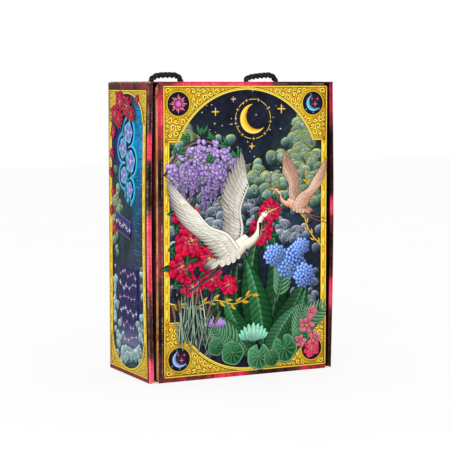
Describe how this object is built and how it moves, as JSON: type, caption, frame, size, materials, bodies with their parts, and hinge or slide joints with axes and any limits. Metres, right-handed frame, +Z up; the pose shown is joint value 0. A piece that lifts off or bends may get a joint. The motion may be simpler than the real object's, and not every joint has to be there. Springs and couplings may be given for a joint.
{
  "type": "carry carton",
  "caption": "Tall upright carton of creased, printed board with a drop-front lid, rolled side walls and rope loops through its top wall.",
  "frame": {"origin": "centre of the base, on the surface that the carton stands on", "axes": "+Z is up, the lid faces -Y, and +X is to the right as seen from the front"},
  "size_m": [0.335, 0.17, 0.496],
  "materials": {
    "printed_board": "gloss laminated print in dark reds, golds, blues and greens",
    "plain_board": "uncoated white-lined board",
    "black_rope": "twisted black cord"
  },
  "bodies": {
    "carton": {"back_panel": "printed_board", "top_wall": "printed_board", "bottom_wall": "printed_board", "left_outer_wall": "printed_board", "left_rim": "printed_board", "left_inner_wall": "plain_board", "left_lock_tabs": "plain_board", "left_upper_corner_flap": "plain_board", "left_lower_corner_flap": "plain_board", "right_outer_wall": "printed_board", "right_rim": "printed_board", "right_inner_wall": "plain_board", "right_lock_tabs": "plain_board", "right_upper_corner_flap": "plain_board", "right_lower_corner_flap": "plain_board"},
    "lid": {"lid_panel": "printed_board"},
    "tuck": {"tuck_flap": "printed_board"},
    "left_dust": {"left_dust_flap": "printed_board"},
    "right_dust": {"right_dust_flap": "printed_board"},
    "left_rope": {"left_rope_loop": "black_rope", "left_rope_knots": "black_rope"},
    "right_rope": {"right_rope_loop": "black_rope", "right_rope_knots": "black_rope"}
  },
  "joints": [
    {"name": "lid_hinge", "type": "hinge", "parent": "carton", "child": "lid", "pos_m": [0, -0.084, 0.001], "axis": [1, 0, 0], "range_deg": [0, 90]},
    {"name": "tuck_fold", "type": "hinge", "parent": "lid", "child": "tuck", "pos_m": [0, -0.083, 0.4757], "axis": [-1, 0, 0], "range_deg": [0, 78]},
    {"name": "left_dust_fold", "type": "hinge", "parent": "lid", "child": "left_dust", "pos_m": [-0.1533, -0.083, 0.24], "axis": [0, 0, -1], "range_deg": [0, 80]},
    {"name": "right_dust_fold", "type": "hinge", "parent": "lid", "child": "right_dust", "pos_m": [0.1533, -0.083, 0.24], "axis": [0, 0, 1], "range_deg": [0, 80]},
    {"name": "left_rope_slide", "type": "slide", "parent": "carton", "child": "left_rope", "axis": [0, 0, 1], "range_m": [0, 0.045]},
    {"name": "right_rope_slide", "type": "slide", "parent": "carton", "child": "right_rope", "axis": [0, 0, 1], "range_m": [0, 0.045]}
  ]
}
